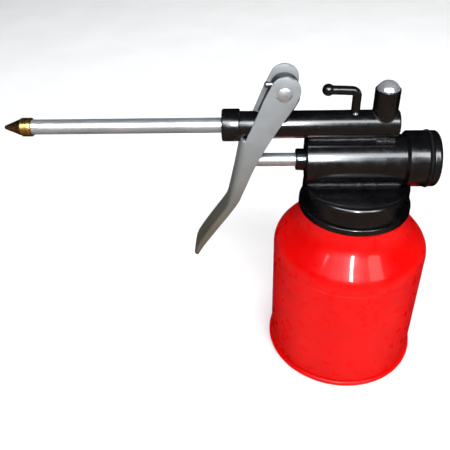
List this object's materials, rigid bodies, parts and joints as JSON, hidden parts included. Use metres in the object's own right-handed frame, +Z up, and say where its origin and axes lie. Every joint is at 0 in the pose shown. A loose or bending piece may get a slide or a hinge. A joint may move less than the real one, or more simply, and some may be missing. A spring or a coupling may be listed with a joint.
{
  "type": "oil can",
  "caption": "Hand-pump oil can: steel can with a screw-on pump head, squeeze lever, straight spout with a conical nozzle, and a hanging hook.",
  "frame": {"origin": "centre of the flat underside that the can stands on", "axes": "+Z up along the can's axis, -X along the spout towards the nozzle"},
  "size_m": [0.2109, 0.0828, 0.1678],
  "materials": {
    "red_paint": "glossy red enamel",
    "black_paint": "glossy black enamel",
    "zinc_steel": "zinc-plated sheet",
    "bright_steel": "bright drawn steel",
    "spring_steel": "spring wire",
    "brass": "turned brass",
    "chrome": "polished",
    "rubber": "oil-proof rubber",
    "leather": "oiled cup leather"
  },
  "bodies": {
    "can": {"can_wall": "red_paint", "can_shoulder": "red_paint", "can_base": "red_paint", "neck_collar": "black_paint"},
    "gasket": {"neck_gasket": "rubber"},
    "head": {"pump_cap": "black_paint", "pump_barrel": "black_paint", "barrel_head": "black_paint", "rear_gasket": "rubber", "rear_cap": "black_paint", "gland_nut": "black_paint", "gland_seal": "rubber", "inlet_cage": "brass", "suction_tube": "bright_steel", "suction_strainer": "brass", "tube_saddle": "black_paint", "outlet_tube": "black_paint", "valve_boss": "black_paint", "outlet_spring": "spring_steel", "plug_washer": "rubber", "valve_plug": "chrome", "spout_nut": "black_paint", "spout_ferrule": "zinc_steel", "spout_tube": "bright_steel", "nozzle_tip": "brass", "hanging_hook": "black_paint", "lever_lug": "black_paint", "lug_set_screw": "bright_steel", "pivot_pin": "bright_steel", "return_spring": "spring_steel"},
    "lever": {"lever": "zinc_steel"},
    "plunger": {"plunger_rod": "bright_steel", "piston_washer": "zinc_steel", "piston_cup": "leather", "piston_nut": "zinc_steel"},
    "inlet_valve": {"inlet_ball": "chrome"},
    "outlet_valve": {"outlet_ball": "chrome"}
  },
  "joints": [
    {"name": "head_lift", "type": "slide", "parent": "can", "child": "gasket", "axis": [0, 0, 1], "range_m": [0, 0.006]},
    {"name": "head_turn", "type": "hinge", "parent": "gasket", "child": "head", "pos_m": [0, 0, 0.1], "axis": [0, 0, 1], "range_deg": [0, 720]},
    {"name": "lever_squeeze", "type": "hinge", "parent": "head", "child": "lever", "pos_m": [-0.0373, 0, 0.1596], "axis": [0, -1, 0], "range_deg": [0, 20]},
    {"name": "plunger_stroke", "type": "slide", "parent": "head", "child": "plunger", "axis": [1, 0, 0], "range_m": [0, 0.0136], "stiffness_N_per_m": 400, "springref_m": -0.015, "deforming": ["return_spring"]},
    {"name": "inlet_valve_lift", "type": "slide", "parent": "head", "child": "inlet_valve", "axis": [0, 0, 1], "range_m": [0, 0.001]},
    {"name": "outlet_valve_lift", "type": "slide", "parent": "head", "child": "outlet_valve", "axis": [0, 0, 1], "range_m": [0, 0.001], "stiffness_N_per_m": 80, "springref_m": -0.002, "deforming": ["outlet_spring"]}
  ],
  "couplings": [
    {"joint": "head_lift", "follows": "head_turn", "m_per_rad": 0.00047746},
    {"joint": "plunger_stroke", "follows": "lever_squeeze", "m_per_rad": 0.0387}
  ]
}
